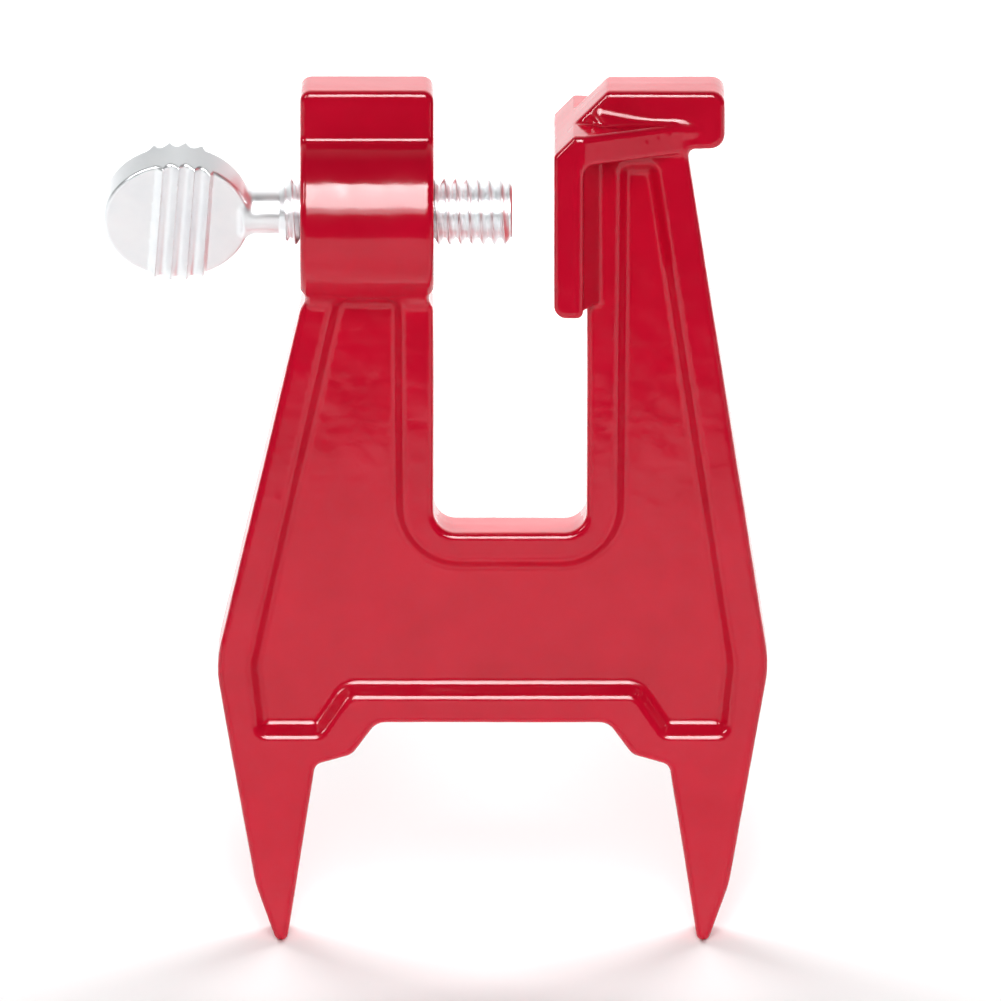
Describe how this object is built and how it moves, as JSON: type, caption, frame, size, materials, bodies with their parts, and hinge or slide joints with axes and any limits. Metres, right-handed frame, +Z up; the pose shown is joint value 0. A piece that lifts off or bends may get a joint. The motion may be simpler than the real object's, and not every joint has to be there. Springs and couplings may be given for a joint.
{
  "type": "stump vise",
  "caption": "Cast filing vise with two spikes for a stump, an open slot for a saw guide bar, a fixed jaw and a thumb screw that clamps the bar.",
  "frame": {"origin": "on the plate's middle plane, midway between the two spikes and level with their shoulders, where the top of the stump comes", "axes": "+Z up, away from the stump; +X along the thumb screw, from its grip towards the fixed jaw; Y across the plate's thickness, -Y towards the front face"},
  "size_m": [0.0957, 0.0254, 0.1268],
  "materials": {
    "red_paint": "glossy red paint over cast iron, with slight orange peel",
    "zinc_plate": "bright zinc-plated steel"
  },
  "bodies": {
    "body": {"vise_body": "red_paint"},
    "screw_travel": {"screw_core": "zinc_plate"},
    "screw": {"thumb_screw": "zinc_plate"}
  },
  "joints": [
    {"name": "screw_slide", "type": "slide", "parent": "body", "child": "screw_travel", "axis": [1, 0, 0], "range_m": [-0.0113, 0.0059]},
    {"name": "screw_turn", "type": "hinge", "parent": "screw_travel", "child": "screw", "pos_m": [0, 0, 0.081], "axis": [1, 0, 0], "range_deg": [-2563, 1338]}
  ],
  "couplings": [
    {"joint": "screw_turn", "follows": "screw_slide", "rad_per_m": 3957.9}
  ]
}
